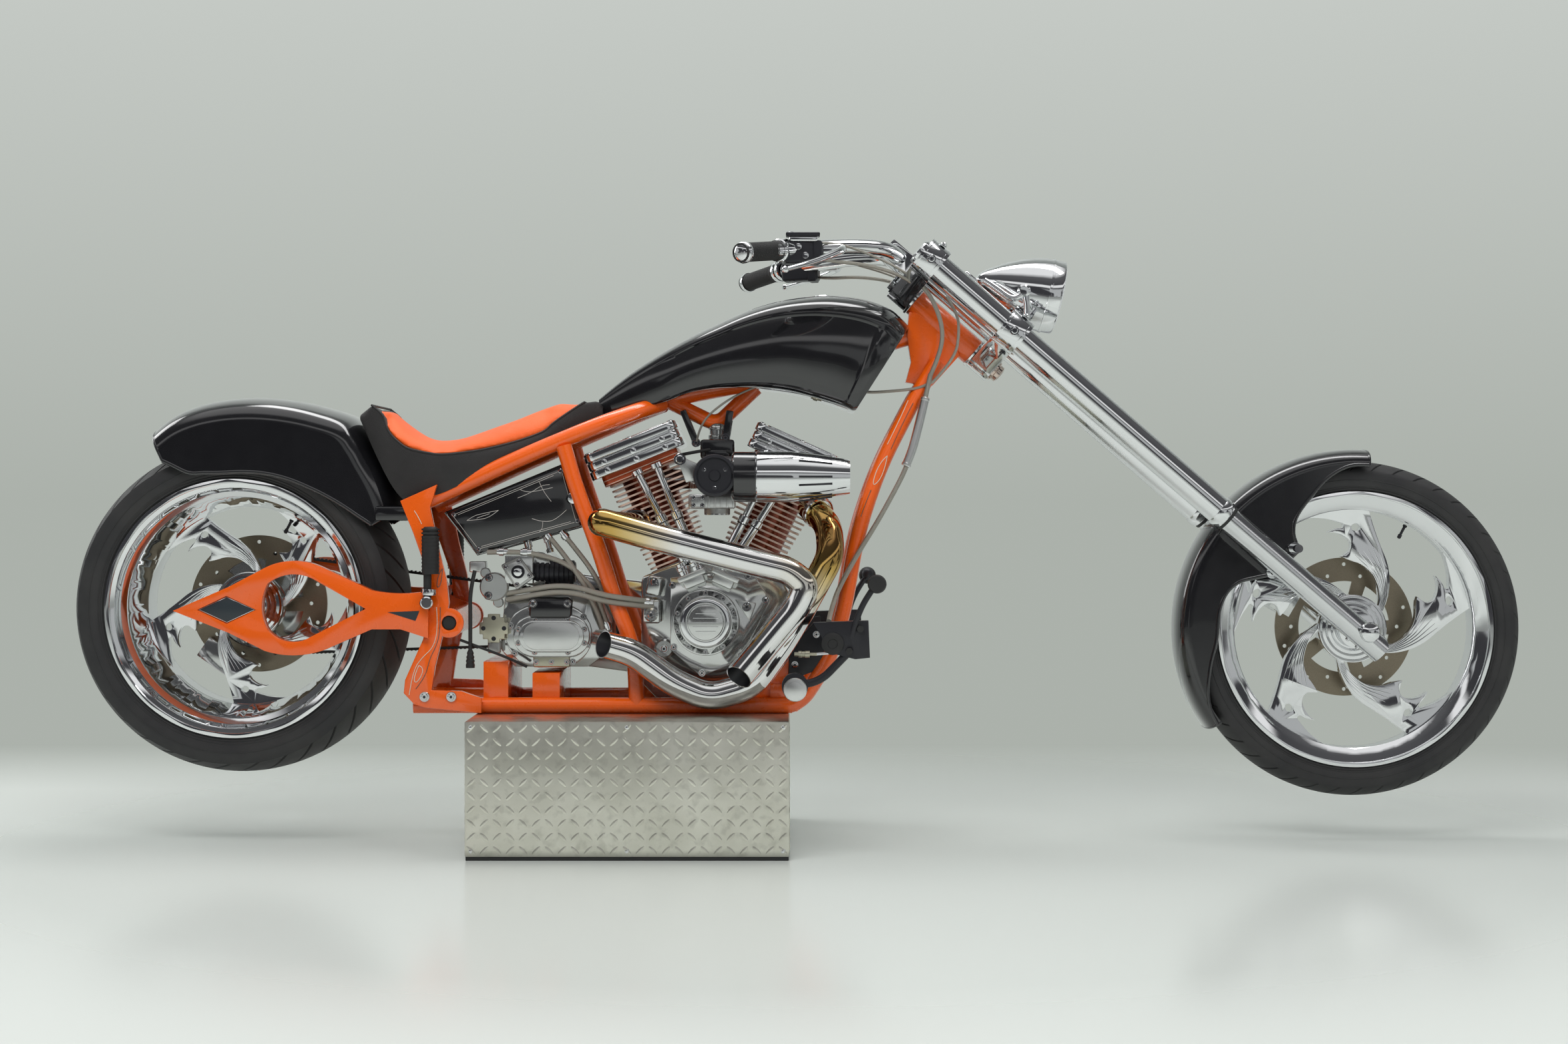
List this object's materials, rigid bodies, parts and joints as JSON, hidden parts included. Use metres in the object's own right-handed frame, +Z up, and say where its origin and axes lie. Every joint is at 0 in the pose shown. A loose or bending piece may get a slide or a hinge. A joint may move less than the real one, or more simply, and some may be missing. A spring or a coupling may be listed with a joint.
{
  "type": "chopper motorcycle on a plinth",
  "caption": "Long-fork chopper motorcycle with an open V-twin engine, wide rear tyre, raked fork and low seat, held on a tread-plate plinth; wheels, steering and side stand move.",
  "frame": {"origin": "on the floor under the middle of the overall length, on the machine's centre plane", "axes": "+X forwards, +Y to the rider's left, +Z up"},
  "size_m": [2.9788, 0.7, 1.2369],
  "materials": {
    "frame_orange": "gloss",
    "gloss_black": "gloss",
    "chrome": "mirror",
    "polished_alloy": "polished",
    "fin_red": "gloss",
    "tread_plate": "rolled tread, worn",
    "tyre_black": "matt",
    "rubber_black": "matt",
    "disc_bronze": "ground",
    "satin_black": "satin",
    "seat_black": "smooth",
    "seat_orange": "smooth"
  },
  "bodies": {
    "root": {"plinth": "tread_plate", "lower_rails": "frame_orange", "down_tubes": "frame_orange", "seat_rails": "frame_orange", "backbone": "frame_orange", "seat_posts": "frame_orange", "neck": "frame_orange", "rear_plates": "frame_orange", "cross_members": "frame_orange", "swingarm": "frame_orange", "swingarm_tubes": "frame_orange", "rear_axle": "chrome", "crankcase": "polished_alloy", "cylinders": "fin_red", "rocker_boxes": "chrome", "cam_cover": "polished_alloy", "pushrod_tubes": "chrome", "carburettor": "polished_alloy", "air_cleaner": "chrome", "exhaust_pipes": "chrome", "gearbox": "polished_alloy", "starter": "polished_alloy", "primary_cover": "chrome", "drive_belt": "rubber_black", "fuel_tank": "gloss_black", "oil_tank": "gloss_black", "seat_base": "seat_black", "seat_pad": "seat_orange", "rear_fender": "gloss_black", "forward_controls": "satin_black", "passenger_pegs": "rubber_black", "rear_caliper": "polished_alloy", "clutch_cable": "rubber_black"},
    "steering": {"triple_trees": "chrome", "fork_upper_tubes": "chrome", "fork_lower_tubes": "polished_alloy", "handlebar": "chrome", "grips": "rubber_black", "hand_controls": "satin_black", "headlight": "chrome", "front_fender": "gloss_black", "front_axle": "chrome", "front_caliper": "polished_alloy"},
    "front_wheel": {"front_tyre": "tyre_black", "front_rim": "chrome", "front_rotor": "disc_bronze"},
    "rear_wheel": {"rear_tyre": "tyre_black", "rear_rim": "chrome", "rear_rotor": "disc_bronze", "rear_pulley": "polished_alloy"},
    "stand": {"side_stand": "chrome"}
  },
  "joints": [
    {"name": "steering", "type": "hinge", "parent": "root", "child": "steering", "pos_m": [0.2949, 0, 1.0643], "axis": [-0.7562, 0, 0.6543], "range_deg": [-30, 30]},
    {"name": "front_wheel_spin", "type": "hinge", "parent": "steering", "child": "front_wheel", "pos_m": [1.1435, 0, 0.436], "axis": [0, 1, 0], "continuous": true},
    {"name": "rear_wheel_spin", "type": "hinge", "parent": "root", "child": "rear_wheel", "pos_m": [-1.1485, 0, 0.482], "axis": [0, 1, 0], "continuous": true},
    {"name": "side_stand", "type": "hinge", "parent": "root", "child": "stand", "pos_m": [0.008, 0.172, 0.289], "axis": [-0.3902, 0.3331, -0.8584], "range_deg": [0, 160]}
  ]
}
